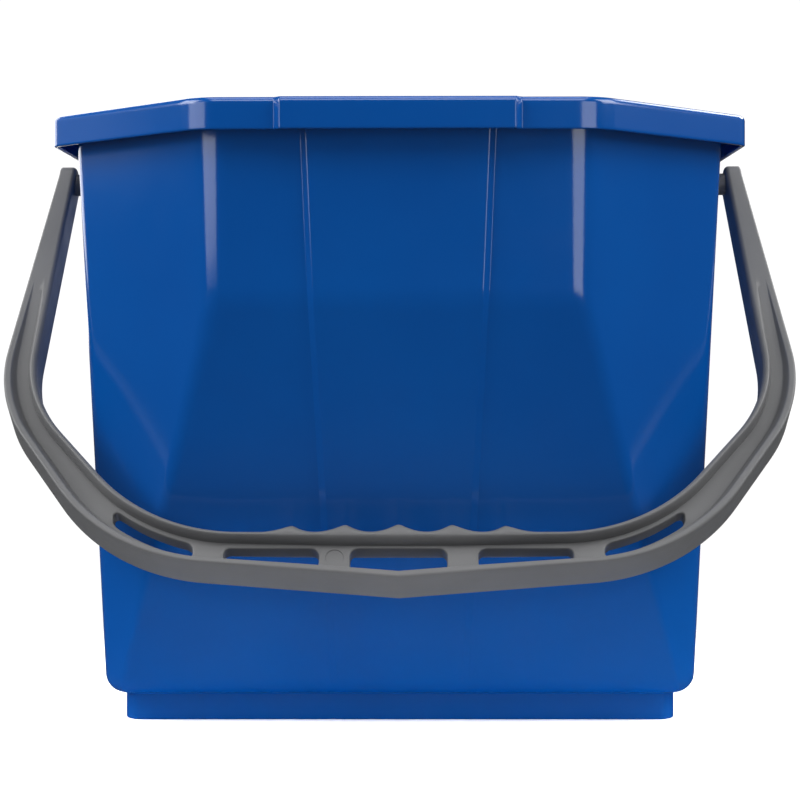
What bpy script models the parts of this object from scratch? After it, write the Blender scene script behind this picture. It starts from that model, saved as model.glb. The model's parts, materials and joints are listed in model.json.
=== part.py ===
"""Wash bucket: a moulded tub with chamfered corners, and a bail handle whose pins snap into its two sides.

Metres, +Z up. The front is -Y. The origin is on the ground, under the middle of the tub.
"""

import math

import bmesh
import bpy
import numpy as np

# Tub wall, outside. Each tuple goes with LEVELS: bottom of the body, front crease, top.
LEVELS = (0.015, 0.2269, 0.3278)
HALF_WIDTH = (0.1597, 0.1713, 0.1764)
HALF_DEPTH = (0.0925, 0.1567, 0.1618)
CORNER_SUM = (0.2440, 0.2520, 0.2588)  # x + y on the corner's 45 degree face
CORNER_RADIUS = (0.014, 0.016, 0.016)  # where that face meets the side
EDGE_RADIUS = (0.005, 0.017, 0.024)  # where it meets the front or the back
PANEL_HALF = (0.033, 0.0426, 0.0467)  # half width of the raised panel on front and back
PANEL_RISE = (0.0, 0.0023, 0.0023)
STEP = 0.0040  # width of the sloped step beside a raised panel
WALL = 0.003
CREASE_BLEND = 0.008

# Bottom of the tub
BOTTOM_ROUND = 0.010
FOOT_HALF_WIDTH = 0.1498
FOOT_HALF_DEPTH = 0.0815
FOOT_CORNER_SUM = 0.2254
FOOT_WALL = 0.004
FOOT_CORNER_RADIUS = 0.008
FOOT_EDGE_RADIUS = 0.006
FOOT_EDGE = 0.0008
RIB_THICKNESS = 0.0025
RIB_CLEAR = 0.002  # the ribs stop this far above the ground
RIB_X = 0.050

# Rim: a flange with a skirt that turns down
RIM_HALF_WIDTH = 0.1879
RIM_HALF_DEPTH = 0.1725
RIM_CORNER_SUM = 0.2744
RIM_CORNER_RADIUS = 0.016
RIM_EDGE_RADIUS = 0.027
RIM_PANEL_HALF = 0.0585
RIM_PANEL_RISE = 0.0033
RIM_TOP = LEVELS[2]
SKIRT_HEIGHT = 0.0164
SKIRT_WALL = 0.0025
RIM_ROUND = 0.003
MOUTH_ROUND = 0.0012

# Pivots: blind bosses on the tub's sides, and the handle's pins
PIVOT_Z = 0.2976
BOSS_RADIUS = 0.0115
BOSS_END_X = 0.183
BORE_RADIUS = 0.00665
BORE_START_X = 0.1745
PIN_RADIUS = 0.0063
PIN_START_X = 0.1752
PIN_CHAMFER = 0.0012
PIVOT_SIDES = 32

# Handle, in its own plane: x across the bucket, r the distance from the pivot axis
REST_TILT = math.radians(34.5)
ARM_END_RADIUS = 0.0105
HALF_THICKNESS_GRIP = 0.012
FULL_THICKNESS_R = 0.150
INNER_ARM_X, INNER_ARM_SLOPE = 0.1885, 0.066
OUTER_ARM_X, OUTER_ARM_SLOPE = 0.1976, 0.128
INNER_CORNERS = ((0.1987, 0.1545), (0.1275, 0.2380))
OUTER_CORNERS = ((0.2175, 0.1555), (0.1502, 0.2518))
INNER_RADII = (0.072, 0.098)
OUTER_RADII = (0.080, 0.105)
GRIP_INNER_R = 0.2380
GRIP_OUTER_R = 0.2650
EDGE = 0.0015  # chamfer along the handle's long edges
FLANGE = 0.0032
CHANNEL_DRAFT = 0.0014
WEB_HALF = 0.0045
CHANNEL_START_R, CHANNEL_FULL_R = 0.078, 0.170
FINGER_PITCH = 0.0286
FINGER_HEIGHT = 0.0041
FINGER_PEAKS = 2  # on each side of the middle one
PEAK_ROUND = 0.07
SLOT_SPANS = ((-0.025, 0.025), (0.041, 0.090), (0.106, 0.151))
SLOT_INNER, SLOT_OUTER = 0.0056, 0.0045
SLOT_RADII = (0.0045, 0.0028)
MARK_X, MARK_RADIUS, MARK_DEPTH = -0.033, 0.0048, 0.0004

CORNER_STEPS = 4
ARC_STEPS = 7
GRIP_STEPS = 21
SKIN = 0.001  # how far a cutter reaches past the face that it cuts


# ---------------------------------------------------------------- shared helpers


def clear_scene():
    for obj in list(bpy.data.objects):
        bpy.data.objects.remove(obj, do_unlink=True)


def material(name, colour, roughness):
    made = bpy.data.materials.new(name)
    made.use_nodes = True
    shader = made.node_tree.nodes["Principled BSDF"]
    shader.inputs["Base Color"].default_value = (*colour, 1.0)
    shader.inputs["Roughness"].default_value = roughness
    shader.inputs["Metallic"].default_value = 0.0
    return made


def new_object(name, bm, parent=None):
    mesh = bpy.data.meshes.new(name)
    bmesh.ops.recalc_face_normals(bm, faces=bm.faces)
    bm.to_mesh(mesh)
    bm.free()
    obj = bpy.data.objects.new(name, mesh)
    bpy.context.scene.collection.objects.link(obj)
    obj.parent = parent
    return obj


def loft(rings):
    """A closed body through rings of points, with a face over the first ring and the last."""
    bm = bmesh.new()
    loops = [[bm.verts.new(point) for point in ring] for ring in rings]
    for lower, upper in zip(loops, loops[1:]):
        count = len(lower)
        for i in range(count):
            j = (i + 1) % count
            bm.faces.new((lower[i], lower[j], upper[j], upper[i]))
    bm.faces.new(loops[0])
    bm.faces.new(loops[-1])
    return bm


def box(low, high):
    corners = [(low[0], low[1]), (high[0], low[1]), (high[0], high[1]), (low[0], high[1])]
    return loft([[(x, y, z) for x, y in corners] for z in (low[2], high[2])])


def rod(x_and_radius):
    """A turned bar along X through (x, radius) pairs."""
    angles = [2 * math.pi * i / PIVOT_SIDES for i in range(PIVOT_SIDES)]
    return loft(
        [[(x, r * math.cos(a), r * math.sin(a)) for a in angles] for x, r in x_and_radius]
    )


def combine(target, tool, operation):
    """A Boolean whose tool stays as a hidden guide."""
    tool.hide_render = True
    tool.display_type = "WIRE"
    modifier = target.modifiers.new(f"{operation.lower()} {tool.name}", "BOOLEAN")
    modifier.operation = operation
    modifier.solver = "EXACT"
    modifier.object = tool


def finish(obj, made_of):
    obj.data.materials.append(made_of)
    obj.data.shade_smooth()
    obj.data.set_sharp_from_angle(angle=math.radians(30))


# ---------------------------------------------------------------- tub


def quarter(width, depth, corner, radii, panel, rise):
    """One quarter of the tub's plan, from its front panel round to its side."""
    chamfer = (width + depth - corner) * math.sqrt(2)
    turn = math.tan(math.radians(22.5))
    fit = min(1.0, 0.94 * chamfer / (turn * sum(radii)))
    edge, end = (radius * fit for radius in radii)
    points = [(panel, -depth - rise), (panel + STEP, -depth)]
    first = (corner - depth - edge * turn, edge - depth, edge, -90)
    second = (width - end, width - corner + end * turn, end, -45)
    for x, y, radius, start in (first, second):
        for i in range(CORNER_STEPS + 1):
            angle = math.radians(start + 45 * i / CORNER_STEPS)
            points.append((x + radius * math.cos(angle), y + radius * math.sin(angle)))
    return points


def ring(z, inset, width, depth, corner, end, edge, panel, rise):
    """The whole plan at one height, moved inwards by inset."""
    right_front = quarter(
        width - inset,
        depth - inset,
        corner - inset * math.sqrt(2),
        (max(edge - inset, 0.001), max(end - inset, 0.001)),
        panel,
        rise,
    )
    left_back = [(-x, -y, z) for x, y in right_front]
    right_back = [(x, -y, z) for x, y in reversed(right_front)]
    left_front = [(-x, y, z) for x, y in reversed(right_front)]
    return [(x, y, z) for x, y in right_front] + right_back + left_back + left_front


def wall_ring(z, inset=0.0, blend=0.0):
    """The tub wall's plan at height z. blend spreads the front crease over that much height."""

    def at(values):
        return float(
            0.5 * np.interp(z - blend, LEVELS, values) + 0.5 * np.interp(z + blend, LEVELS, values)
        )

    shape = (HALF_WIDTH, HALF_DEPTH, CORNER_SUM, CORNER_RADIUS, EDGE_RADIUS, PANEL_HALF, PANEL_RISE)
    return ring(z, inset, *(at(values) for values in shape))


def rim_ring(z, inset=0.0):
    return ring(
        z,
        inset,
        RIM_HALF_WIDTH,
        RIM_HALF_DEPTH,
        RIM_CORNER_SUM,
        RIM_CORNER_RADIUS,
        RIM_EDGE_RADIUS,
        RIM_PANEL_HALF,
        RIM_PANEL_RISE,
    )


def foot_ring(z, inset):
    return ring(
        z,
        inset,
        FOOT_HALF_WIDTH,
        FOOT_HALF_DEPTH,
        FOOT_CORNER_SUM,
        FOOT_CORNER_RADIUS,
        FOOT_EDGE_RADIUS,
        PANEL_HALF[0],
        0.0,
    )


def arc_rings(make, z, radius, inset, angles, sign):
    """Rings round an edge: z and inset follow an arc of that radius about (z, inset + radius)."""
    rings = []
    for angle in angles:
        turn = math.radians(angle)
        rings.append(make(z + sign * radius * math.sin(turn), inset + radius * (1 - math.cos(turn))))
    return rings


def tub_rings():
    """From the floor up the inside, over the rim, and down the outside to the underside."""
    body_bottom = LEVELS[0]
    round_z = body_bottom + BOTTOM_ROUND
    crease = [LEVELS[1] + step * CREASE_BLEND for step in (-1, -0.5, 0, 0.5, 1)]
    crease_rings = [(z, CREASE_BLEND - abs(z - LEVELS[1])) for z in crease]
    rings = arc_rings(wall_ring, round_z, BOTTOM_ROUND - WALL, WALL, (90, 60, 30, 0), -1)
    rings += [wall_ring(z, WALL, blend) for z, blend in crease_rings]
    rings.append(wall_ring(RIM_TOP - MOUTH_ROUND, WALL))
    rings.append(wall_ring(RIM_TOP, WALL - MOUTH_ROUND))
    rings += arc_rings(rim_ring, RIM_TOP - RIM_ROUND, RIM_ROUND, 0.0, (90, 60, 30, 0), 1)
    rings.append(rim_ring(RIM_TOP - SKIRT_HEIGHT))
    rings.append(rim_ring(RIM_TOP - SKIRT_HEIGHT, SKIRT_WALL))
    rings.append(rim_ring(RIM_TOP - SKIRT_WALL, SKIRT_WALL))
    rings.append(wall_ring(RIM_TOP - SKIRT_WALL))
    rings += [wall_ring(z, 0.0, blend) for z, blend in reversed(crease_rings)]
    rings += arc_rings(wall_ring, round_z, BOTTOM_ROUND, 0.0, (0, 22.5, 45, 67.5, 90), -1)
    rings.append(foot_ring(body_bottom, 0.0))
    rings.append(foot_ring(FOOT_EDGE, 0.0))
    rings.append(foot_ring(0.0, FOOT_EDGE))
    rings.append(foot_ring(0.0, FOOT_WALL))
    rings.append(foot_ring(body_bottom, FOOT_WALL))
    return rings


def tub_ribs():
    """Three stiffening ribs under the floor, inside the foot."""
    inside_x = FOOT_HALF_WIDTH - FOOT_WALL / 2
    inside_y = FOOT_HALF_DEPTH - FOOT_WALL / 2
    low, high = RIB_CLEAR, LEVELS[0] + SKIN
    half = RIB_THICKNESS / 2
    ribs = {"long_rib": ((-inside_x, -half, low), (inside_x, half, high))}
    for side in (-1, 1):
        middle = side * RIB_X
        name = "left_rib" if side < 0 else "right_rib"
        ribs[name] = ((middle - half, -inside_y, low), (middle + half, inside_y, high))
    return ribs


def make_tub():
    tub = new_object("tub", loft(tub_rings()))
    for name, (low, high) in tub_ribs().items():
        combine(tub, new_object(name, box(low, high)), "UNION")
    wall_x = float(np.interp(PIVOT_Z, LEVELS, HALF_WIDTH))
    for side, name in ((-1, "left"), (1, "right")):
        boss = new_object(
            f"{name}_boss",
            rod([(side * (wall_x - WALL / 2), BOSS_RADIUS), (side * BOSS_END_X, BOSS_RADIUS)]),
        )
        bore = new_object(
            f"{name}_bore",
            rod([(side * BORE_START_X, BORE_RADIUS), (side * (BOSS_END_X + SKIN), BORE_RADIUS)]),
        )
        for guide in (boss, bore):
            guide.location.z = PIVOT_Z
        combine(tub, boss, "UNION")
        combine(tub, bore, "DIFFERENCE")
    finish(tub, material("blue_plastic", (0.0, 0.085, 0.34), 0.28))
    return tub


# ---------------------------------------------------------------- handle


def round_corner(before, corner, after, radius, steps):
    """Points of the arc that rounds a corner."""
    corner = np.array(corner, float)
    into = corner - np.array(before, float)
    out = np.array(after, float) - corner
    into /= np.linalg.norm(into)
    out /= np.linalg.norm(out)
    turn = math.acos(float(np.clip(into @ out, -1, 1)))
    reach = radius * math.tan(turn / 2)
    start = corner - into * reach
    side = np.array((-into[1], into[0]))
    if side @ out < 0:
        side = -side
    centre = start + side * radius
    arc = []
    for i in range(steps + 1):
        angle = turn * i / steps
        arc.append(centre - side * radius * math.cos(angle) + into * radius * math.sin(angle))
    return arc


def edge_curve(middle_r, corners, radii, arm_x, arm_slope):
    """One long edge of the handle's right half as (x, r) points, from the middle to the arm's end."""
    middle, top = (0.0, middle_r), (arm_x, 0.0)
    low_arc = round_corner(middle, corners[1], corners[0], radii[1], ARC_STEPS)
    high_arc = round_corner(corners[1], corners[0], top, radii[0], ARC_STEPS)
    grip = [
        np.array(middle) + (low_arc[0] - middle) * i / GRIP_STEPS for i in range(GRIP_STEPS)
    ]
    full = high_arc[-1][1]
    arm_rs = [full * f for f in (0.75, 0.55, 0.35, 0.15, 0.0)]
    arm_rs += [-ARM_END_RADIUS * math.sin(math.radians(a)) for a in (20, 40, 60, 78)]
    arm = [np.array((arm_x + arm_slope * r, r)) for r in arm_rs]
    return grip + low_arc + high_arc + arm


def half_thickness(r):
    if r < 0:
        return math.sqrt(ARM_END_RADIUS**2 - r**2)
    grown = min(r / FULL_THICKNESS_R, 1.0)
    return ARM_END_RADIUS + (HALF_THICKNESS_GRIP - ARM_END_RADIUS) * grown


def finger_rise(x):
    """How far the grip's inner edge stands up between the fingers."""
    place = abs(x) / FINGER_PITCH
    if place > FINGER_PEAKS + 0.5:
        return 0.0
    from_peak = abs(place - round(place))
    fall = max(1 - 2 * math.hypot(from_peak, PEAK_ROUND), 0.0) / (1 - 2 * PEAK_ROUND)
    return FINGER_HEIGHT * fall**2


def in_space(x, r, v):
    """A point of the handle's plane in its object's own space, with v standing out of the front."""
    return (float(x), -float(v), -float(r))


def stations():
    """(inner point, outer point) pairs along the whole handle, from the left arm's end to the right's."""
    inner = edge_curve(GRIP_INNER_R, INNER_CORNERS, INNER_RADII, INNER_ARM_X, INNER_ARM_SLOPE)
    outer = edge_curve(GRIP_OUTER_R, OUTER_CORNERS, OUTER_RADII, OUTER_ARM_X, OUTER_ARM_SLOPE)
    right = list(zip(inner, outer))
    mirror = np.array((-1.0, 1.0))
    left = [(a * mirror, b * mirror) for a, b in reversed(right[1:])]
    return left + right


def handle_section(inner, outer):
    """The handle's outline across one station, before its channels are cut."""
    across = (outer - inner) / np.linalg.norm(outer - inner)
    half = half_thickness(0.5 * (inner[1] + outer[1]))
    edge = min(EDGE, half / 2)
    raised = inner - across * finger_rise(inner[0]) if inner[1] > GRIP_INNER_R - SKIN else inner
    near, far = raised + across * edge, outer - across * edge
    corners = ((near, half), (far, half), (outer, half - edge), (outer, edge - half))
    corners += ((far, -half), (near, -half), (raised, edge - half), (raised, half - edge))
    return [in_space(*point, v) for point, v in corners]


def channel(side):
    """The cutter of one face's channel: it gets shallower up the arms and ends."""
    rings = []
    for inner, outer in stations():
        r = 0.5 * (inner[1] + outer[1])
        if r < CHANNEL_START_R:
            continue
        across = (outer - inner) / np.linalg.norm(outer - inner)
        grown = min((r - CHANNEL_START_R) / (CHANNEL_FULL_R - CHANNEL_START_R), 1.0)
        half = half_thickness(r)
        floor = half + SKIN / 2 - (half + SKIN / 2 - WEB_HALF) * grown
        top = half + SKIN
        deep = FLANGE + CHANNEL_DRAFT * grown
        corners = (
            (inner + across * FLANGE, top),
            (outer - across * FLANGE, top),
            (outer - across * deep, floor),
            (inner + across * deep, floor),
        )
        rings.append([in_space(*point, side * v) for point, v in corners])
    return loft(rings)


def band_point(x, from_inner=None, from_outer=None):
    """The point at x along the middle of the grip, that far in from its inner or outer edge."""
    pairs = [pair for pair in stations() if pair[0][1] > GRIP_INNER_R / 2]
    middles = [0.5 * (inner[0] + outer[0]) for inner, outer in pairs]
    rising = [i for i, value in enumerate(middles) if abs(value) < OUTER_CORNERS[1][0] * 1.2]
    xs = [middles[i] for i in rising]
    inner = np.array([np.interp(x, xs, [pairs[i][0][k] for i in rising]) for k in (0, 1)])
    outer = np.array([np.interp(x, xs, [pairs[i][1][k] for i in rising]) for k in (0, 1)])
    across = (outer - inner) / np.linalg.norm(outer - inner)
    return inner + across * from_inner if from_outer is None else outer - across * from_outer


def slot(start, end):
    """A cutter through the web, following the grip, with rounded corners."""
    xs = np.linspace(start, end, 5)
    upper = [band_point(x, from_inner=SLOT_INNER) for x in xs]
    lower = [band_point(x, from_outer=SLOT_OUTER) for x in reversed(xs)]
    outline = upper + lower
    corner_radius = {0: SLOT_RADII[0], 4: SLOT_RADII[0], 5: SLOT_RADII[1], 9: SLOT_RADII[1]}
    rounded = []
    for i, point in enumerate(outline):
        if i in corner_radius:
            before, after = outline[i - 1], outline[(i + 1) % len(outline)]
            rounded += round_corner(before, point, after, corner_radius[i], 3)
        else:
            rounded.append(point)
    reach = HALF_THICKNESS_GRIP + SKIN
    return loft([[in_space(*point, v) for point in rounded] for v in (-reach, reach)])


def mark():
    """A shallow blank disc in the web, beside the middle slot."""
    centre = 0.5 * (band_point(MARK_X, from_inner=FLANGE) + band_point(MARK_X, from_outer=FLANGE))
    angles = [2 * math.pi * i / PIVOT_SIDES for i in range(PIVOT_SIDES)]
    outline = [centre + MARK_RADIUS * np.array((math.cos(a), math.sin(a))) for a in angles]
    levels = (WEB_HALF - MARK_DEPTH, WEB_HALF + SKIN)
    return loft([[in_space(*point, v) for point in outline] for v in levels])


def make_handle():
    handle = new_object("bail_handle", loft([handle_section(*pair) for pair in stations()]))
    handle.location.z = PIVOT_Z
    handle.rotation_euler.x = -REST_TILT
    for side, name in ((-1, "left_pin"), (1, "right_pin")):
        ends = ((PIN_START_X, PIN_RADIUS - PIN_CHAMFER), (PIN_START_X + PIN_CHAMFER, PIN_RADIUS))
        profile = [*ends, (INNER_ARM_X + FLANGE, PIN_RADIUS)]
        pin = new_object(name, rod([(side * x, r) for x, r in profile]), handle)
        combine(handle, pin, "UNION")
    for side, name in ((1, "front_channel"), (-1, "back_channel")):
        combine(handle, new_object(name, channel(side), handle), "DIFFERENCE")
    spans = list(SLOT_SPANS) + [(-end, -start) for start, end in SLOT_SPANS[1:]]
    for number, (start, end) in enumerate(spans, 1):
        combine(handle, new_object(f"slot_{number}", slot(start, end), handle), "DIFFERENCE")
    combine(handle, new_object("blank_mark", mark(), handle), "DIFFERENCE")
    finish(handle, material("grey_plastic", (0.17, 0.172, 0.178), 0.45))
    return handle


def main():
    clear_scene()
    make_tub()
    make_handle()


main()
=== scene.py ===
import json
import math

import bmesh
import bpy
import numpy as np
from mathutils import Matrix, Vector


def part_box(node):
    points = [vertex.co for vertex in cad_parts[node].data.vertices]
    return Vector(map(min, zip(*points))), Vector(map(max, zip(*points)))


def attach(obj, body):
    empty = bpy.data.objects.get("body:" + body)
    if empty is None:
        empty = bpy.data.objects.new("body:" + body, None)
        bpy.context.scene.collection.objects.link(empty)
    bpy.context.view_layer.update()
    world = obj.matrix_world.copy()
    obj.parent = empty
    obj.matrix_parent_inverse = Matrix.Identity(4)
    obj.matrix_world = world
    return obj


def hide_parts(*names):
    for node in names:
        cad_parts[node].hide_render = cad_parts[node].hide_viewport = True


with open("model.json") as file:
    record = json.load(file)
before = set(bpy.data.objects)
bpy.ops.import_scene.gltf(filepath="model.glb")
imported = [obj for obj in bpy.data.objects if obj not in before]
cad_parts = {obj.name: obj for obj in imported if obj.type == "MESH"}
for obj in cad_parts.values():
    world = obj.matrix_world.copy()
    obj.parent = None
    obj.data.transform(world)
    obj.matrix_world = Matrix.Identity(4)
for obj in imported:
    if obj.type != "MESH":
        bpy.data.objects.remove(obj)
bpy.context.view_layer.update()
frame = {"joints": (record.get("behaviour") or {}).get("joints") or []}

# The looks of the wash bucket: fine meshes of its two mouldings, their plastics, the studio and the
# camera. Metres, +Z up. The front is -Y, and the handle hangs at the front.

# From the frame
TUB_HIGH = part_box("tub")[1]
PIVOT_Z = frame["joints"][0]["pos_m"][2]
RIM_TOP = TUB_HIGH.z
RIM_HALF_WIDTH = TUB_HIGH.x

# Tub wall, outside. Each tuple goes with LEVELS: bottom of the body, front crease, top.
LEVELS = (0.015, 0.2269, RIM_TOP)
HALF_WIDTH = (0.1597, 0.1713, 0.1764)
HALF_DEPTH = (0.0925, 0.1567, 0.1618)
CORNER_SUM = (0.2440, 0.2520, 0.2588)  # x + y on the corner's 45 degree face
CORNER_RADIUS = (0.014, 0.016, 0.016)  # where that face meets the side
EDGE_RADIUS = (0.005, 0.017, 0.024)  # where it meets the front or the back
PANEL_HALF = (0.033, 0.0426, 0.0467)  # half width of the raised panel on front and back
PANEL_RISE = (0.0004, 0.0025, 0.0025)
STEP = 0.0038  # width of the soft step beside a raised panel
STEP_RADII = (0.0016, 0.0008)  # over its brow and at its foot
STEP_FIT = 0.9  # the most of a panel's rise that those two radii add up to
CORNER_FIT = 0.94  # the most of a corner face that the roundings beside it take up
LEAST_RADIUS = 0.001
WALL = 0.003
CREASE_BLEND = 0.007
BOTTOM_ROUND = 0.010
FLOOR_MARGIN = 0.0015  # from the floor's rounded edge to the first ring of its flat
FIRST_RISE = 0.002  # from the wall's bottom rounding to the next ring

# Foot and the ribs inside it
FOOT_HALF_WIDTH = 0.1498
FOOT_HALF_DEPTH = 0.0815
FOOT_CORNER_SUM = 0.2254
FOOT_CORNER_RADIUS = 0.008
FOOT_EDGE_RADIUS = 0.006
FOOT_WALL = 0.004
FOOT_ROUND = 0.0012
FOOT_TOP_ROUND = 0.0008
FOOT_INNER_EDGE = 0.0006
RIB_THICKNESS = 0.0025
RIB_CLEAR = 0.002
RIB_X = 0.050

# Rim: a flange with a skirt that turns down
RIM_PANEL_RISE = 0.0033
RIM_HALF_DEPTH = TUB_HIGH.y - RIM_PANEL_RISE
RIM_CORNER_SUM = 0.2744
RIM_CORNER_RADIUS = 0.016
RIM_EDGE_RADIUS = 0.027
RIM_PANEL_HALF = 0.0585
RIM_STEP = 0.0040
SKIRT_HEIGHT = 0.0164
SKIRT_WALL = 0.0025
SKIRT_EDGE = 0.0006
RIM_ROUND = 0.003
MOUTH_ROUND = 0.0015
SUPPORT, SKIRT_SUPPORT = 1.3, 2.5  # where a flat's first ring is, in radii of the edge beside it
UNDER_RIM_IN, UNDER_RIM_OUT = 1.6, 0.6  # the soft corners under the rim, in skirt walls

# Pivots
BOSS_RADIUS = 0.0115
BOSS_END_X = 0.183
BOSS_FLARE = 0.0018
BOSS_ROUND = 0.0012
BORE_LEAD = 0.0006  # the bevel at the bore's mouth
BORE_RADIUS = 0.00665
BORE_START_X = 0.1752
PIN_RADIUS = 0.0063
PIN_START_X = 0.1756
PIN_ROUND = 0.0012

# Handle, in its own plane: x across the bucket, r the distance from the pivot axis, and v out of
# the plane, towards the front
REST_TILT = math.radians(34.5)
ARM_END_RADIUS = 0.0105
HALF_THICKNESS_GRIP = 0.012
FULL_THICKNESS_R = 0.150
# x of an arm's two sides at the pivot axis, and how much it grows for each metre of r
INNER_ARM_X, INNER_ARM_SLOPE = 0.1885, 0.066
OUTER_ARM_X, OUTER_ARM_SLOPE = 0.1976, 0.128
# (x, r) of each long edge's upper and lower corner, and the radii that round them
INNER_CORNERS = ((0.1987, 0.1545), (0.1275, 0.2380))
OUTER_CORNERS = ((0.21745, 0.1555), (0.1502, 0.2518))
INNER_RADII = (0.072, 0.098)
OUTER_RADII = (0.080, 0.105)
GRIP_INNER_R = 0.2380
GRIP_OUTER_R = 0.2650
INNER_EDGE, OUTER_EDGE = 0.0016, 0.0013  # how far the long edges are rounded
ARM_INNER_EDGE = 0.0026
FLANGE = 0.0034
CHEEK = 0.0048  # how far the inner flange's rounded cheek reaches into the channel
WEB_HALF = 0.0045
SIDE_SHARE = 0.6  # where the handle's long sides have a ring, from the middle plane to their edge
# The width of the channel's sloping outer wall: a base, what each metre of the channel's depth adds
# everywhere and again on the arms, and the most that it may be as a share of the web
WALL_BASE, WALL_SLOPE, WALL_ARM_SLOPE, WALL_SHARE = 0.0006, 0.16, 0.40, 0.75
CHANNEL_START_R, CHANNEL_FULL_R = 0.078, 0.172
FINGER_PITCH = 0.0286
FINGER_HEIGHT = 0.0041
FINGER_PEAKS = 2  # on each side of the middle one
PEAK_ROUND = 0.055  # how rounded the peaks are, in pitches
# x of the middle slot's ends, then of the right-hand ones, which the left-hand ones mirror
SLOT_SPANS = ((-0.025, 0.025), (0.041, 0.090), (0.106, 0.1485))
SLOT_INNER, SLOT_OUTER = 0.0064, 0.0062  # the land from the handle's inner and outer edge
SLOT_TAPER = 0.05  # the end slots get this much narrower for each metre outwards
SLOT_RADII = (0.0044, 0.0028)  # of the upper and lower corners
SLOT_FIT = 0.85  # the most of a slot's height that those two radii add up to
LOWER_SHARE = 0.7  # the lower handle begins at this share of the grip's distance from the pivots
SLOT_LIP = 0.0009
SLOT_STEPS = 44
LIP_PROUD = 0.00006  # keeps the lip's last ring off the web's own face
MARK_X, MARK_RADIUS, MARK_DEPTH = -0.033, 0.0051, 0.0004

# Materials
NOISE_LOW, NOISE_HIGH = 0.3, 0.7  # the middle range of a noise
CLOUD_DETAIL, GLOSS_DETAIL, RIPPLE_DETAIL, GRAIN_DETAIL = 3.0, 4.0, 1.0, 2.0
GLOSS_FINENESS = 5  # how much finer the clouds of gloss are than those of colour

# Studio. The floor and the background are not physical: what they give off depends on the kind of
# ray. They are white to the camera, dim in glossy surfaces, and the floor bounces extra light.
BACKGROUND = 1.05
ROOM_LIGHT, ROOM_GLOSS = 0.07, 0.05
FLOOR_WHITE, FLOOR_GLOSS, FLOOR_SEEN = 1.45, 0.06, 2.4
FLOOR_RADIUS = 2.2
FLOOR_SIDES = 96
FLOOR_ROUGHNESS = 0.9
FLOOR_FADE = (0.16, 0.38)  # distances from the middle at which the floor starts and ends to fade
AIM = Vector((0.0, 0.0, 0.16))
# Upright boxes that face the bucket: name, azimuth from the front towards the right in degrees,
# distance, low and high edge, width, radiance
SOFT_BOXES = (
    ("left_front_box", -48, 1.35, 0.20, 0.85, 0.80, 2.0),
    ("right_front_box", 26.5, 1.35, 0.02, 0.70, 0.66, 2.0),
    ("left_side_box", -108, 1.35, 0.33, 0.95, 0.80, 0.35),
    ("right_side_box", 101, 1.35, 0.42, 0.95, 0.80, 0.16),
    ("left_back_box", -142, 1.35, 0.20, 1.20, 1.35, 2.4),
    ("right_back_box", 132, 1.50, 0.80, 1.60, 0.80, 6.5),
)
# Boxes above the bucket, turned towards AIM: name, place, size, radiance
HIGH_BOXES = (
    ("left_high_box", (-1.26, -0.40, 1.02), (1.0, 1.0), 5.2),
    ("right_high_box", (1.26, -0.40, 1.02), (1.0, 1.0), 5.2),
    ("front_high_box", (0.0, -1.15, 1.45), (1.0, 0.7), 3.0),
    ("top_box", (0.0, -0.10, 1.80), (1.0, 0.9), 2.2),
)

# Camera: in front of the bucket, almost level
CAMERA_TURN, CAMERA_ROLL = math.radians(0.4), math.radians(0.06)
CAMERA_DISTANCE, CAMERA_HEIGHT = 1.2115, 0.1978
CAMERA_SENSOR, CAMERA_LENS = 36.0, 93.5  # in millimetres
CAMERA_SHIFT = (-0.0005, -0.055)

# How finely the shapes are divided, and how their shading is smoothed
TUB_SMOOTH_ANGLE, HANDLE_SMOOTH_ANGLE = 32, 40
PANEL_SHARES = (0.3, 0.75, 0.97)  # where each flat stretch of the tub's plan is divided
FLANK_SHARES = (0.06, 0.5, 0.94)
FACE_SHARES = (0.04, 0.5, 0.96)
SIDE_SHARES = (0.96, 0.6, 0.2)
LOWER_RINGS, CREASE_RINGS, UPPER_RINGS = 9, 11, 6
CORNER_STEPS = 14
STEP_POINTS = 9
ARC_STEPS = 22
GRIP_STEPS = 96
ARM_STEPS = 34
END_STEPS = 16
CHEEK_STEPS = 10
WALL_STEPS = 8
ROUND_SIDES = 48
SKIN = 0.001  # how far a cutter reaches past the face that it cuts


# ---------------------------------------------------------------- mesh helpers


def mesh_object(name, bm, smooth_angle=TUB_SMOOTH_ANGLE):
    bmesh.ops.remove_doubles(bm, verts=bm.verts, dist=1e-6)
    bmesh.ops.recalc_face_normals(bm, faces=bm.faces)
    mesh = bpy.data.meshes.new(name)
    bm.to_mesh(mesh)
    bm.free()
    obj = bpy.data.objects.new(name, mesh)
    bpy.context.scene.collection.objects.link(obj)
    shade(obj, smooth_angle)
    return obj


def shade(obj, smooth_angle):
    obj.data.shade_smooth()
    obj.data.set_sharp_from_angle(angle=math.radians(smooth_angle))


def add_grid(bm, rings, closed=True):
    """Faces between successive rings of points. It returns the rings' vertices."""
    loops = [[bm.verts.new(point) for point in ring] for ring in rings]
    count = len(rings[0])
    for lower, upper in zip(loops, loops[1:]):
        for i in range(count if closed else count - 1):
            j = (i + 1) % count
            bm.faces.new((lower[i], lower[j], upper[j], upper[i]))
    return loops


def loft(rings):
    """A closed body through rings of points."""
    bm = bmesh.new()
    loops = add_grid(bm, rings)
    bm.faces.new(loops[0])
    bm.faces.new(loops[-1])
    return bm


def box(low, high):
    corners = [(low[0], low[1]), (high[0], low[1]), (high[0], high[1]), (low[0], high[1])]
    return loft([[(x, y, z) for x, y in corners] for z in (low[2], high[2])])


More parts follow.
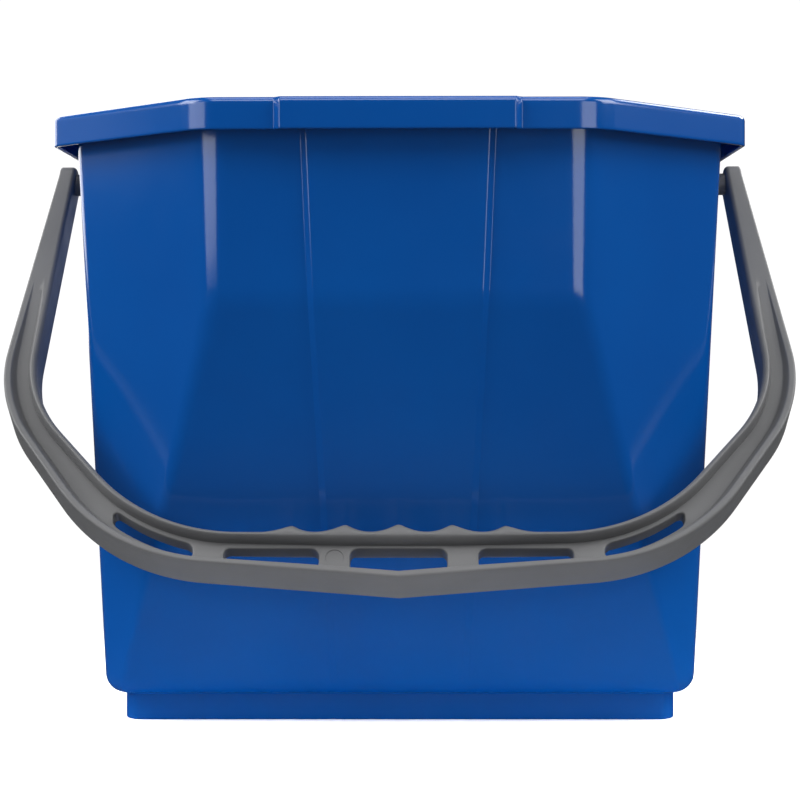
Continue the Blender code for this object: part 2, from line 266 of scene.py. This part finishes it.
def turned(side, profile, height, shift=None):
    """A body turned about the X axis at that height through (x, radius) pairs, on one side."""
    rings = []
    for x, radius in profile:
        ring = []
        for i in range(ROUND_SIDES):
            angle = 2 * math.pi * i / ROUND_SIDES
            y, z = radius * math.cos(angle), radius * math.sin(angle)
            ring.append((side * (x + (shift(z) if shift else 0.0)), y, height + z))
        rings.append(ring)
    return loft(rings)


def arc(radius, steps):
    """(inset, drop) pairs round a quarter circle."""
    pairs = []
    for i in range(steps + 1):
        turn = math.radians(90 * i / steps)
        pairs.append((radius * (1 - math.cos(turn)), radius * math.sin(turn)))
    return pairs


def smooth_step(t):
    return t * t * (3 - 2 * t)


def combine(target, tools, operation, smooth_angle=TUB_SMOOTH_ANGLE):
    """Applies Booleans, and removes the tools."""
    for tool in tools:
        modifier = target.modifiers.new(tool.name, "BOOLEAN")
        modifier.operation = operation
        modifier.solver = "EXACT"
        modifier.object = tool
    graph = bpy.context.evaluated_depsgraph_get()
    made = bpy.data.meshes.new_from_object(target.evaluated_get(graph))
    target.modifiers.clear()
    target.data = made
    for tool in tools:
        bpy.data.objects.remove(tool, do_unlink=True)
    shade(target, smooth_angle)


# ---------------------------------------------------------------- tub


def level_value(z, values):
    """A wall dimension at height z, with the crease rounded over CREASE_BLEND each way."""
    low_slope = (values[1] - values[0]) / (LEVELS[1] - LEVELS[0])
    high_slope = (values[2] - values[1]) / (LEVELS[2] - LEVELS[1])
    above = z - LEVELS[1]
    if above <= -CREASE_BLEND:
        return values[1] + low_slope * above
    if above >= CREASE_BLEND:
        return values[1] + high_slope * above
    eased = (high_slope - low_slope) * (above + CREASE_BLEND) ** 2 / (4 * CREASE_BLEND)
    return values[1] + low_slope * above + eased


def step_profile(rise, width):
    """(distance, drop) pairs down the soft step beside a raised panel: an arc, a slope, an arc."""
    brow, foot = STEP_RADII
    share = min(1.0, STEP_FIT * rise / (brow + foot))
    brow, foot = brow * share, foot * share
    both = brow + foot
    slope = math.asin(both / math.hypot(width, both - rise)) - math.atan2(both - rise, width)
    points = []
    for i in range(STEP_POINTS):
        angle = slope * i / (STEP_POINTS - 1)
        points.append((brow * math.sin(angle), brow * (1 - math.cos(angle))))
    for i in range(STEP_POINTS):
        angle = slope * (1 - i / (STEP_POINTS - 1))
        points.append((width - foot * math.sin(angle), rise - foot * (1 - math.cos(angle))))
    return points


def quarter(width, depth, corner, radii, panel, rise, step):
    """One quarter of the tub's plan, from its front panel round to its side."""
    chamfer = (width + depth - corner) * math.sqrt(2)
    turn = math.tan(math.radians(22.5))
    fit = min(1.0, CORNER_FIT * chamfer / (turn * sum(radii)))
    edge, end = (radius * fit for radius in radii)
    flank_start, flank_end = panel + step, corner - depth - edge * turn
    points = [(panel * f, -depth - rise) for f in PANEL_SHARES]
    if rise > 0:
        points += [(panel + along, drop - depth - rise) for along, drop in step_profile(rise, step)]
    else:
        count = 2 * STEP_POINTS
        points += [(panel + step * i / (count - 1), -depth) for i in range(count)]
    points += [(flank_start + (flank_end - flank_start) * f, -depth) for f in FLANK_SHARES]
    arcs = []
    for x, y, radius, start in (
        (flank_end, edge - depth, edge, -90),
        (width - end, width - corner + end * turn, end, -45),
    ):
        angles = [math.radians(start + 45 * i / CORNER_STEPS) for i in range(CORNER_STEPS + 1)]
        arcs.append([(x + radius * math.cos(a), y + radius * math.sin(a)) for a in angles])
    (near_x, near_y), (far_x, far_y) = arcs[0][-1], arcs[1][0]
    face = [
        (near_x + (far_x - near_x) * f, near_y + (far_y - near_y) * f) for f in FACE_SHARES
    ]
    points += arcs[0] + face + arcs[1]
    side_x, side_y = points[-1]
    return points + [(side_x, side_y * f) for f in SIDE_SHARES]


def ring(z, inset, width, depth, corner, end, edge, panel, rise, step):
    """The whole plan at one height, moved inwards by inset."""
    right_front = quarter(
        width - inset,
        depth - inset,
        corner - inset * math.sqrt(2),
        (max(edge - inset, LEAST_RADIUS), max(end - inset, LEAST_RADIUS)),
        panel,
        rise,
        step,
    )
    right_back = [(x, -y, z) for x, y in reversed(right_front)]
    left_back = [(-x, -y, z) for x, y in right_front]
    left_front = [(-x, y, z) for x, y in reversed(right_front)]
    return [(x, y, z) for x, y in right_front] + right_back + left_back + left_front


def wall_ring(z, inset=0.0):
    shape = (HALF_WIDTH, HALF_DEPTH, CORNER_SUM, CORNER_RADIUS, EDGE_RADIUS, PANEL_HALF, PANEL_RISE)
    return ring(z, inset, *(level_value(z, values) for values in shape), STEP)


def rim_ring(z, inset=0.0):
    return ring(
        z,
        inset,
        RIM_HALF_WIDTH,
        RIM_HALF_DEPTH,
        RIM_CORNER_SUM,
        RIM_CORNER_RADIUS,
        RIM_EDGE_RADIUS,
        RIM_PANEL_HALF,
        RIM_PANEL_RISE,
        RIM_STEP,
    )


def foot_ring(z, inset=0.0):
    return ring(
        z,
        inset,
        FOOT_HALF_WIDTH,
        FOOT_HALF_DEPTH,
        FOOT_CORNER_SUM,
        FOOT_CORNER_RADIUS,
        FOOT_EDGE_RADIUS,
        PANEL_HALF[0],
        0.0,
        STEP,
    )


def wall_heights():
    """Heights of the rings up a wall, closer together across the crease."""
    low, crease, high = LEVELS[0] + BOTTOM_ROUND, LEVELS[1], RIM_TOP - 2 * SKIRT_WALL
    under, over = crease - CREASE_BLEND, crease + CREASE_BLEND
    lower = np.linspace(low, under, LOWER_RINGS)[1:]
    across = np.linspace(under, over, CREASE_RINGS)[1:]
    upper = np.linspace(over, high, UPPER_RINGS)[1:]
    return [float(z) for z in (low, low + FIRST_RISE, *lower, *across, *upper)]


def tub_rings():
    """From the floor up the inside, over the rim, and down the outside to the underside."""
    body_bottom = LEVELS[0]
    round_z = body_bottom + BOTTOM_ROUND
    floor_z = body_bottom + WALL
    skirt_z = RIM_TOP - SKIRT_HEIGHT
    inner_round = BOTTOM_ROUND - WALL
    rings = [wall_ring(floor_z, BOTTOM_ROUND + FLOOR_MARGIN)]
    for inset, drop in reversed(arc(inner_round, 7)):
        rings.append(wall_ring(round_z - drop, WALL + inset))
    rings += [wall_ring(z, WALL) for z in wall_heights()[1:]]
    rings.append(wall_ring(RIM_TOP - SUPPORT * MOUTH_ROUND, WALL))
    for inset, drop in arc(MOUTH_ROUND, 5):
        rings.append(wall_ring(RIM_TOP - MOUTH_ROUND + drop, WALL - inset))
    rings.append(wall_ring(RIM_TOP, WALL - SUPPORT * MOUTH_ROUND))
    rings.append(rim_ring(RIM_TOP, SUPPORT * RIM_ROUND))
    for inset, drop in reversed(arc(RIM_ROUND, 8)):
        rings.append(rim_ring(RIM_TOP - RIM_ROUND + drop, inset))
    rings.append(rim_ring(RIM_TOP - SUPPORT * RIM_ROUND))
    rings.append(rim_ring(skirt_z + SKIRT_SUPPORT * SKIRT_EDGE))
    for inset, drop in arc(SKIRT_EDGE, 3):
        rings.append(rim_ring(skirt_z + SKIRT_EDGE - drop, inset))
    for inset, drop in reversed(arc(SKIRT_EDGE, 3)):
        rings.append(rim_ring(skirt_z + SKIRT_EDGE - drop, SKIRT_WALL - inset))
    rings.append(rim_ring(skirt_z + SKIRT_SUPPORT * SKIRT_EDGE, SKIRT_WALL))
    rings.append(rim_ring(RIM_TOP - 2 * SKIRT_WALL, SKIRT_WALL))
    rings.append(rim_ring(RIM_TOP - SKIRT_WALL, UNDER_RIM_IN * SKIRT_WALL))
    rings.append(wall_ring(RIM_TOP - SKIRT_WALL, -UNDER_RIM_OUT * SKIRT_WALL))
    rings += [wall_ring(z) for z in reversed(wall_heights())]
    for inset, drop in arc(BOTTOM_ROUND, 9)[1:]:
        rings.append(wall_ring(round_z - drop, inset))
    rings.append(foot_ring(body_bottom, -FOOT_TOP_ROUND))
    rings.append(foot_ring(body_bottom - FOOT_TOP_ROUND))
    rings.append(foot_ring(2 * FOOT_ROUND))
    for inset, drop in arc(FOOT_ROUND, 4):
        rings.append(foot_ring(FOOT_ROUND - drop, inset))
    rings.append(foot_ring(0.0, FOOT_WALL - FOOT_INNER_EDGE))
    rings.append(foot_ring(FOOT_INNER_EDGE, FOOT_WALL))
    rings.append(foot_ring(body_bottom, FOOT_WALL))
    return rings


def ribs():
    """Three stiffening ribs under the floor, inside the foot."""
    inside_x = FOOT_HALF_WIDTH - FOOT_WALL / 2
    inside_y = FOOT_HALF_DEPTH - FOOT_WALL / 2
    low, high = RIB_CLEAR, LEVELS[0] + SKIN
    half = RIB_THICKNESS / 2
    made = [mesh_object("long_rib", box((-inside_x, -half, low), (inside_x, half, high)))]
    for name, x in (("left_rib", -RIB_X), ("right_rib", RIB_X)):
        made.append(mesh_object(name, box((x - half, -inside_y, low), (x + half, inside_y, high))))
    return made


def wall_lean(z):
    """How far the side wall moves outwards from the pivot's height to z above it."""
    return level_value(PIVOT_Z + z, HALF_WIDTH) - level_value(PIVOT_Z, HALF_WIDTH)


def bosses():
    """The round sockets of the handle's pins, flared where they grow out of the wall."""
    wall_x = level_value(PIVOT_Z, HALF_WIDTH)
    widest = BOSS_RADIUS + BOSS_FLARE
    made = []
    for side, name in ((-1, "left_boss"), (1, "right_boss")):
        profile = [(wall_x - WALL / 2, widest), (wall_x, widest)]
        for inset, drop in arc(BOSS_FLARE, 5)[1:]:
            profile.append((wall_x + inset, widest - drop))
        made.append(mesh_object(name, turned(side, profile, PIVOT_Z, wall_lean)))
        collar = [(wall_x, BOSS_RADIUS)]
        for inset, drop in arc(BOSS_ROUND, 4):
            collar.append((BOSS_END_X - BOSS_ROUND + drop, BOSS_RADIUS - inset))
        made.append(mesh_object(f"{name}_collar", turned(side, collar, PIVOT_Z)))
    return made


def bores():
    made = []
    for side, name in ((-1, "left_bore"), (1, "right_bore")):
        profile = [
            (BORE_START_X, BORE_RADIUS),
            (BOSS_END_X - BORE_LEAD, BORE_RADIUS),
            (BOSS_END_X + SKIN, BORE_RADIUS + SKIN + BORE_LEAD),
        ]
        made.append(mesh_object(name, turned(side, profile, PIVOT_Z)))
    return made


def make_tub(plastic):
    tub = mesh_object("tub_moulding", loft(tub_rings()))
    combine(tub, ribs() + bosses(), "UNION")
    combine(tub, bores(), "DIFFERENCE")
    tub.data.materials.clear()
    tub.data.materials.append(plastic)
    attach(tub, "tub")
    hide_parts("tub")


# ---------------------------------------------------------------- handle


def round_corner(before, corner, after, radius, steps):
    """Points of the arc that rounds a corner."""
    corner = np.array(corner, float)
    into = corner - np.array(before, float)
    out = np.array(after, float) - corner
    into /= np.linalg.norm(into)
    out /= np.linalg.norm(out)
    turn = math.acos(float(np.clip(into @ out, -1, 1)))
    start = corner - into * radius * math.tan(turn / 2)
    side = np.array((-into[1], into[0]))
    if side @ out < 0:
        side = -side
    centre = start + side * radius
    angles = [turn * i / steps for i in range(steps + 1)]
    return [centre - side * radius * math.cos(a) + into * radius * math.sin(a) for a in angles]


def edge_curve(middle_r, corners, radii, arm_x, arm_slope):
    """One long edge of the handle's right half as (x, r) points, from its middle to the pivots."""
    middle, top = np.array((0.0, middle_r)), (arm_x, 0.0)
    low_arc = round_corner(middle, corners[1], corners[0], radii[1], ARC_STEPS)
    high_arc = round_corner(corners[1], corners[0], top, radii[0], ARC_STEPS)
    grip = [middle + (low_arc[0] - middle) * i / GRIP_STEPS for i in range(GRIP_STEPS)]
    straight = [low_arc[-1] + (high_arc[0] - low_arc[-1]) * f for f in (0.25, 0.5, 0.75)]
    rs = [high_arc[-1][1] * (1 - i / ARM_STEPS) for i in range(1, ARM_STEPS + 1)]
    arm = [np.array((arm_x + arm_slope * r, r)) for r in rs]
    return grip + low_arc + straight + high_arc + arm


def handle_stations():
    """(inner point, outer point) pairs along the handle, from the left pivot to the right one."""
    inner = edge_curve(GRIP_INNER_R, INNER_CORNERS, INNER_RADII, INNER_ARM_X, INNER_ARM_SLOPE)
    outer = edge_curve(GRIP_OUTER_R, OUTER_CORNERS, OUTER_RADII, OUTER_ARM_X, OUTER_ARM_SLOPE)
    right = list(zip(inner, outer))
    mirror = np.array((-1.0, 1.0))
    return [(a * mirror, b * mirror) for a, b in reversed(right[1:])] + right


STATIONS = handle_stations()


def half_thickness(r):
    grown = min(max(r, 0.0) / FULL_THICKNESS_R, 1.0)
    return ARM_END_RADIUS + (HALF_THICKNESS_GRIP - ARM_END_RADIUS) * grown


def finger_rise(x):
    """How far the grip's inner edge stands up between the fingers."""
    place = abs(x) / FINGER_PITCH
    if place > FINGER_PEAKS + 0.5:
        return 0.0
    from_peak = abs(place - round(place))
    fall = max(1 - 2 * math.hypot(from_peak, PEAK_ROUND), 0.0) / (1 - 2 * PEAK_ROUND)
    return FINGER_HEIGHT * fall**2


def in_space(x, r, v):
    """A point of the handle's plane in the row's frame at rest."""
    sine, cosine = math.sin(REST_TILT), math.cos(REST_TILT)
    return (float(x), float(-r * sine - v * cosine), float(PIVOT_Z - r * cosine + v * sine))


def front_profile(inner, outer):
    """(distance from the inner edge, v) pairs over the handle's front at one station."""
    width = float(np.linalg.norm(outer - inner))
    r = 0.5 * (inner[1] + outer[1])
    half = half_thickness(r)
    grown = min(max((r - CHANNEL_START_R) / (CHANNEL_FULL_R - CHANNEL_START_R), 0.0), 1.0)
    depth = (half - WEB_HALF) * grown
    upright = abs(outer[0] - inner[0]) / width  # 1 on the arms, 0 on the grip
    rise = finger_rise(inner[0]) if r > GRIP_INNER_R else 0.0
    edge = INNER_EDGE + (ARM_INNER_EDGE - INNER_EDGE) * upright
    room = max(width - CHEEK - FLANGE, 0.0)
    slope = WALL_SLOPE + WALL_ARM_SLOPE * upright**3
    outer_wall = min(WALL_BASE + slope * depth, WALL_SHARE * room)
    points = [(-rise, 0.0), (-rise, SIDE_SHARE * (half - edge))]
    for inset, drop in arc(edge, 8):
        points.append((inset - rise, half - edge + drop))
    for i in range(1, CHEEK_STEPS + 1):
        turn = 0.5 * math.pi * i / CHEEK_STEPS
        along = edge + (CHEEK - edge) * math.sin(turn)
        points.append((along, half - depth * (1 - math.cos(turn))))
    start = width - FLANGE - outer_wall
    points.append((0.5 * (CHEEK + start), half - depth))
    for i in range(WALL_STEPS + 1):
        t = i / WALL_STEPS
        points.append((start + outer_wall * t, half - depth * (1 - smooth_step(t))))
    for inset, drop in reversed(arc(OUTER_EDGE, 5)):
        points.append((width - inset, half - OUTER_EDGE + drop))
    points += [(width, SIDE_SHARE * (half - OUTER_EDGE)), (width, 0.0)]
    return points


def handle_body():
    bm = bmesh.new()
    fronts = []
    rings = []
    for inner, outer in STATIONS:
        across = (outer - inner) / np.linalg.norm(outer - inner)
        front = [(inner + across * a, v) for a, v in front_profile(inner, outer)]
        whole = front + [(point, -v) for point, v in reversed(front[1:-1])]
        fronts.append(front)
        rings.append([in_space(*point, v) for point, v in whole])
    add_grid(bm, rings)
    for front in (fronts[0], fronts[-1]):
        rows = []
        for i in range(END_STEPS + 1):
            turn = math.pi * i / END_STEPS
            rows.append(
                [in_space(p[0], -v * math.sin(turn), v * math.cos(turn)) for p, v in front]
            )
        add_grid(bm, rows, closed=False)
    bmesh.ops.remove_doubles(bm, verts=bm.verts, dist=2e-6)
    bmesh.ops.dissolve_degenerate(bm, edges=bm.edges, dist=1e-7)
    return mesh_object("bail_handle_moulding", bm, HANDLE_SMOOTH_ANGLE)


def pins():
    made = []
    for side, name in ((-1, "left_pin"), (1, "right_pin")):
        profile = [
            (PIN_START_X + PIN_ROUND - drop, PIN_RADIUS - inset)
            for inset, drop in reversed(arc(PIN_ROUND, 4))
        ]
        profile.append((INNER_ARM_X + FLANGE, PIN_RADIUS))
        made.append(mesh_object(name, turned(side, profile, PIVOT_Z)))
    return made


def band_edges(x):
    """The grip's inner and outer edge points at x along its middle, and the direction across it."""
    middles = np.array([0.5 * (inner[0] + outer[0]) for inner, outer in STATIONS])
    low = np.array([inner[1] > GRIP_INNER_R * LOWER_SHARE for inner, _ in STATIONS])
    inners = np.array([inner for inner, _ in STATIONS])[low]
    outers = np.array([outer for _, outer in STATIONS])[low]
    middles = middles[low]
    inner = np.array([np.interp(x, middles, inners[:, k]) for k in (0, 1)])
    outer = np.array([np.interp(x, middles, outers[:, k]) for k in (0, 1)])
    return inner, outer, (outer - inner) / np.linalg.norm(outer - inner)


def edge_at(x, which):
    """A long edge's r at x, and how much longer than straight across a line along r is there."""
    points = np.array([station[which] for station in STATIONS])
    points = points[points[:, 1] > LOWER_SHARE * GRIP_INNER_R]
    r, beyond = np.interp([x, x + SKIN], points[:, 0], points[:, 1])
    return r, math.hypot(1.0, (beyond - r) / SKIN)


def corner_cut(radius, from_end):
    """How far a rounded corner stands back from the straight side at that distance from its end."""
    short = max(radius - from_end, 0.0)
    return radius - math.sqrt(radius**2 - short**2)


def slot_outline(start, end, grow):
    """A slot's outline in the handle's plane, with rounded corners, larger all round by grow."""
    low, high = start - grow, end + grow
    near, far = (radius + grow for radius in SLOT_RADII)
    upper, lower = [], []
    for i in range(SLOT_STEPS + 1):
        x = low + (high - low) * 0.5 * (1 - math.cos(math.pi * i / SLOT_STEPS))
        from_end = max(min(x - low, high - x), 0.0)
        inner_r, inner_slant = edge_at(x, 0)
        outer_r, outer_slant = edge_at(x, 1)
        outer_land = SLOT_OUTER + SLOT_TAPER * max(abs(x) - SLOT_SPANS[2][0], 0.0)
        top = inner_r + (SLOT_INNER - grow) * inner_slant
        bottom = outer_r - (outer_land - grow) * outer_slant
        fit = min(1.0, SLOT_FIT * (bottom - top) / (near + far))
        upper.append((x, top + corner_cut(near * fit, from_end)))
        lower.append((x, bottom - corner_cut(far * fit, from_end)))
    return upper + lower[::-1]


def slots():
    """Cutters through the web, wider at both faces so that each slot's rim is rounded."""
    spans = list(SLOT_SPANS) + [(-end, -start) for start, end in SLOT_SPANS[1:]]
    lip_base = WEB_HALF + LIP_PROUD - SLOT_LIP
    levels = [(WEB_HALF + SKIN, SLOT_LIP)]
    levels += [(lip_base + drop, inset) for inset, drop in reversed(arc(SLOT_LIP, 5))]
    levels += [(-v, grow) for v, grow in reversed(levels)]
    made = []
    for number, (start, end) in enumerate(spans, 1):
        rings = [
            [in_space(*point, v) for point in slot_outline(start, end, grow)] for v, grow in levels
        ]
        made.append(mesh_object(f"slot_{number}", loft(rings)))
    return made


def blank_mark():
    """A shallow blank disc in the web, beside the middle slot."""
    inner, outer, across = band_edges(MARK_X)
    centre = 0.5 * (inner + across * FLANGE + outer - across * FLANGE)
    levels = ((WEB_HALF - MARK_DEPTH, MARK_RADIUS - MARK_DEPTH), (WEB_HALF + SKIN, MARK_RADIUS))
    angles = [2 * math.pi * i / ROUND_SIDES for i in range(ROUND_SIDES)]
    rings = []
    for v, radius in levels:
        rings.append(
            [
                in_space(centre[0] + radius * math.cos(a), centre[1] + radius * math.sin(a), v)
                for a in angles
            ]
        )
    return mesh_object("blank_mark", loft(rings))


def make_handle(plastic):
    handle = handle_body()
    combine(handle, pins(), "UNION", HANDLE_SMOOTH_ANGLE)
    combine(handle, slots() + [blank_mark()], "DIFFERENCE", HANDLE_SMOOTH_ANGLE)
    handle.data.materials.clear()
    handle.data.materials.append(plastic)
    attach(handle, "handle")
    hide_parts("bail_handle")


# ---------------------------------------------------------------- materials


def noise(tree, scale, detail, position):
    node = tree.nodes.new("ShaderNodeTexNoise")
    node.inputs["Scale"].default_value = scale
    node.inputs["Detail"].default_value = detail
    tree.links.new(position, node.inputs["Vector"])
    return node.outputs["Fac"]


def spread(tree, value, low, high):
    """Maps a noise's middle range onto low to high."""
    node = tree.nodes.new("ShaderNodeMapRange")
    node.inputs["From Min"].default_value = NOISE_LOW
    node.inputs["From Max"].default_value = NOISE_HIGH
    node.inputs["To Min"].default_value = low
    node.inputs["To Max"].default_value = high
    tree.links.new(value, node.inputs["Value"])
    return node.outputs["Result"]


def blend_colours(tree, value, first, second):
    node = tree.nodes.new("ShaderNodeMix")
    node.data_type = "RGBA"
    node.inputs["A"].default_value = (*first, 1.0)
    node.inputs["B"].default_value = (*second, 1.0)
    tree.links.new(value, node.inputs["Factor"])
    return node.outputs["Result"]


def bump(tree, height, depth):
    node = tree.nodes.new("ShaderNodeBump")
    node.inputs["Strength"].default_value = 1.0
    node.inputs["Distance"].default_value = depth
    tree.links.new(height, node.inputs["Height"])
    return node


def plastic(name, colours, cloud_scale, roughness, specular, grain, ripple):
    """A moulded plastic: clouded pigment, uneven gloss, a fine grain and a thin wall's slow ripple.

    The grain and the ripple are each a scale and a depth.
    """
    made = bpy.data.materials.new(name)
    made.use_nodes = True
    tree = made.node_tree
    shader = tree.nodes["Principled BSDF"]
    position = tree.nodes.new("ShaderNodeTexCoord").outputs["Object"]
    cloud = spread(tree, noise(tree, cloud_scale, CLOUD_DETAIL, position), 0.0, 1.0)
    tree.links.new(blend_colours(tree, cloud, *colours), shader.inputs["Base Color"])
    patches = noise(tree, cloud_scale * GLOSS_FINENESS, GLOSS_DETAIL, position)
    tree.links.new(spread(tree, patches, *roughness), shader.inputs["Roughness"])
    shader.inputs["Specular IOR Level"].default_value = specular
    slow = bump(tree, noise(tree, ripple[0], RIPPLE_DETAIL, position), ripple[1])
    fine = bump(tree, noise(tree, grain[0], GRAIN_DETAIL, position), grain[1])
    tree.links.new(slow.outputs["Normal"], fine.inputs["Normal"])
    tree.links.new(fine.outputs["Normal"], shader.inputs["Normal"])
    return made


# ---------------------------------------------------------------- studio


def by_ray(tree, usual, glossy, seen):
    """A value that is different in glossy surfaces, and to the camera itself."""
    path = tree.nodes.new("ShaderNodeLightPath")
    value = None
    for ray, special in (("Is Glossy Ray", glossy), ("Is Camera Ray", seen)):
        pick = tree.nodes.new("ShaderNodeMix")
        pick.data_type = "FLOAT"
        pick.inputs["A"].default_value = usual
        pick.inputs["B"].default_value = special
        if value:
            tree.links.new(value, pick.inputs["A"])
        tree.links.new(path.outputs[ray], pick.inputs["Factor"])
        value = pick.outputs["Result"]
    return value


def make_floor():
    """A disc that is white to the camera and fades out into the white background."""
    bm = bmesh.new()
    bmesh.ops.create_circle(bm, cap_ends=True, segments=FLOOR_SIDES, radius=FLOOR_RADIUS)
    floor = mesh_object("floor", bm)
    made = bpy.data.materials.new("floor_paper")
    made.use_nodes = True
    tree = made.node_tree
    shader = tree.nodes["Principled BSDF"]
    shader.inputs["Roughness"].default_value = FLOOR_ROUGHNESS
    shader.inputs["Specular IOR Level"].default_value = 0.0
    tone = by_ray(tree, FLOOR_WHITE, FLOOR_GLOSS, FLOOR_SEEN)
    tree.links.new(tone, shader.inputs["Base Color"])
    position = tree.nodes.new("ShaderNodeTexCoord").outputs["Object"]
    length = tree.nodes.new("ShaderNodeVectorMath")
    length.operation = "LENGTH"
    tree.links.new(position, length.inputs[0])
    fade = tree.nodes.new("ShaderNodeMapRange")
    fade.inputs["From Min"].default_value = FLOOR_FADE[0]
    fade.inputs["From Max"].default_value = FLOOR_FADE[1]
    fade.inputs["To Min"].default_value = 1.0
    fade.inputs["To Max"].default_value = 0.0
    tree.links.new(length.outputs["Value"], fade.inputs["Value"])
    tree.links.new(fade.outputs["Result"], shader.inputs["Alpha"])
    floor.data.materials.append(made)


def area_light(name, width, height, radiance, place, rotation):
    data = bpy.data.lights.new(name, "AREA")
    data.shape = "RECTANGLE"
    data.size, data.size_y = width, height
    data.energy = radiance * math.pi * width * height
    light = bpy.data.objects.new(name, data)
    bpy.context.scene.collection.objects.link(light)
    light.location = place
    light.rotation_euler = rotation


def make_lights():
    for name, azimuth, distance, low, high, width, radiance in SOFT_BOXES:
        turn = math.radians(azimuth)
        place = (distance * math.sin(turn), -distance * math.cos(turn), 0.5 * (low + high))
        area_light(name, width, high - low, radiance, place, (math.radians(90), 0.0, turn))
    for name, place, (width, height), radiance in HIGH_BOXES:
        rotation = (AIM - Vector(place)).to_track_quat("-Z", "Y").to_euler()
        area_light(name, width, height, radiance, place, rotation)


def make_world():
    """White behind the object, and a dim even light from all round."""
    world = bpy.data.worlds.new("studio")
    bpy.context.scene.world = world
    world.use_nodes = True
    tree = world.node_tree
    tree.nodes.clear()
    output = tree.nodes.new("ShaderNodeOutputWorld")
    background = tree.nodes.new("ShaderNodeBackground")
    background.inputs["Color"].default_value = (1.0, 1.0, 1.0, 1.0)
    room = by_ray(tree, ROOM_LIGHT, ROOM_GLOSS, BACKGROUND)
    tree.links.new(room, background.inputs["Strength"])
    tree.links.new(background.outputs["Background"], output.inputs["Surface"])
    bpy.context.scene.view_settings.view_transform = "Standard"


def make_camera():
    data = bpy.data.cameras.new("camera")
    data.sensor_width = CAMERA_SENSOR
    data.lens = CAMERA_LENS
    data.shift_x, data.shift_y = CAMERA_SHIFT
    camera = bpy.data.objects.new("camera", data)
    bpy.context.scene.collection.objects.link(camera)
    across, back = math.sin(CAMERA_TURN), math.cos(CAMERA_TURN)
    camera.location = (CAMERA_DISTANCE * across, -CAMERA_DISTANCE * back, CAMERA_HEIGHT)
    camera.rotation_euler = (math.radians(90), CAMERA_ROLL, CAMERA_TURN)
    bpy.context.scene.camera = camera


# ---------------------------------------------------------------- scene


def main():
    blue = plastic(
        "blue_polypropylene",
        colours=((0.0, 0.076, 0.350), (0.0, 0.086, 0.380)),
        cloud_scale=9.0,
        roughness=(0.11, 0.15),
        specular=0.80,
        grain=(900.0, 0.00002),
        ripple=(11.0, 0.00012),
    )
    grey = plastic(
        "grey_polypropylene",
        colours=((0.142, 0.144, 0.149), (0.160, 0.162, 0.167)),
        cloud_scale=14.0,
        roughness=(0.36, 0.48),
        specular=0.5,
        grain=(1500.0, 0.00005),
        ripple=(30.0, 0.0002),
    )
    make_tub(blue)
    make_handle(grey)
    make_floor()
    make_lights()
    make_world()
    make_camera()


main()
